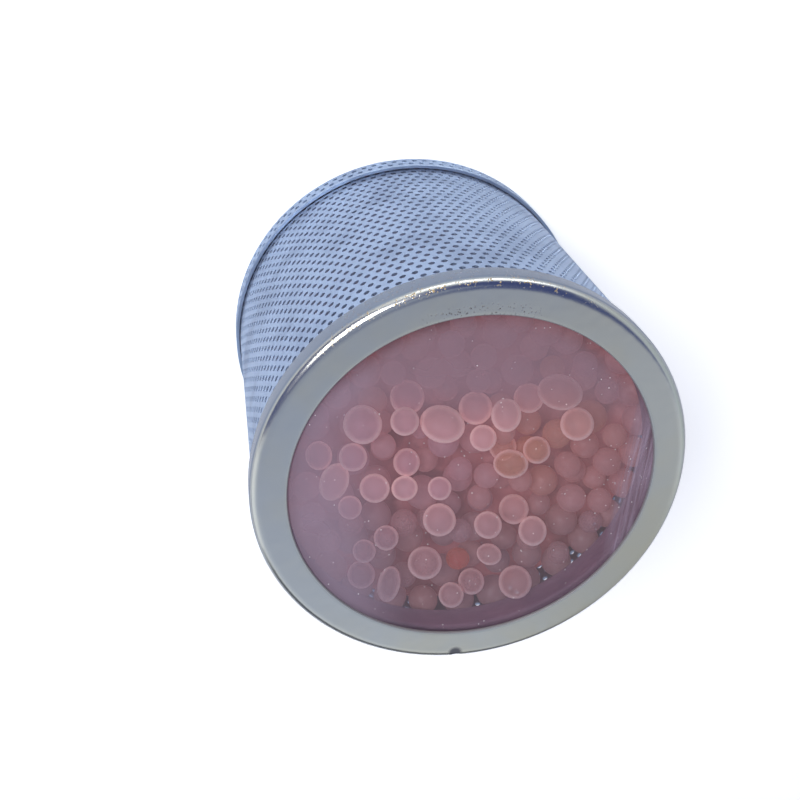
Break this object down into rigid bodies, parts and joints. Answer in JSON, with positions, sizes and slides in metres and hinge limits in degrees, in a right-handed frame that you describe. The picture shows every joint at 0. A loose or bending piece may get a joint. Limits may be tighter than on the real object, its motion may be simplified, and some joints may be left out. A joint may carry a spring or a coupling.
{
  "type": "desiccant cartridge",
  "caption": "Round desiccant cartridge: perforated metal can with a perforated rear cap, a clear window in a plain front ring cap, and loose silica gel beads inside.",
  "frame": {"origin": "centre of the rear face, on the surface that the cartridge stands on", "axes": "+Z along the cartridge's axis, from the rear cap towards the window; the stake mark and the tube's seam lie towards -Y"},
  "size_m": [0.0542, 0.0542, 0.0485],
  "materials": {
    "front_cap": "bright tinplate, fine rolled grain",
    "window": "clear, glossy",
    "window_retainer": "turned lines round the ring",
    "perforated_tube": "satin perforated sheet",
    "rear_cap": "satin perforated sheet",
    "desiccant_beads": "translucent salmon gel with paler rims",
    "desiccant_charge": "packed salmon gel beads"
  },
  "bodies": {
    "root": {"front_cap": "front_cap", "window": "window", "window_retainer": "window_retainer", "perforated_tube": "perforated_tube", "rear_cap": "rear_cap", "desiccant_beads": "desiccant_beads", "desiccant_charge": "desiccant_charge"}
  },
  "joints": []
}
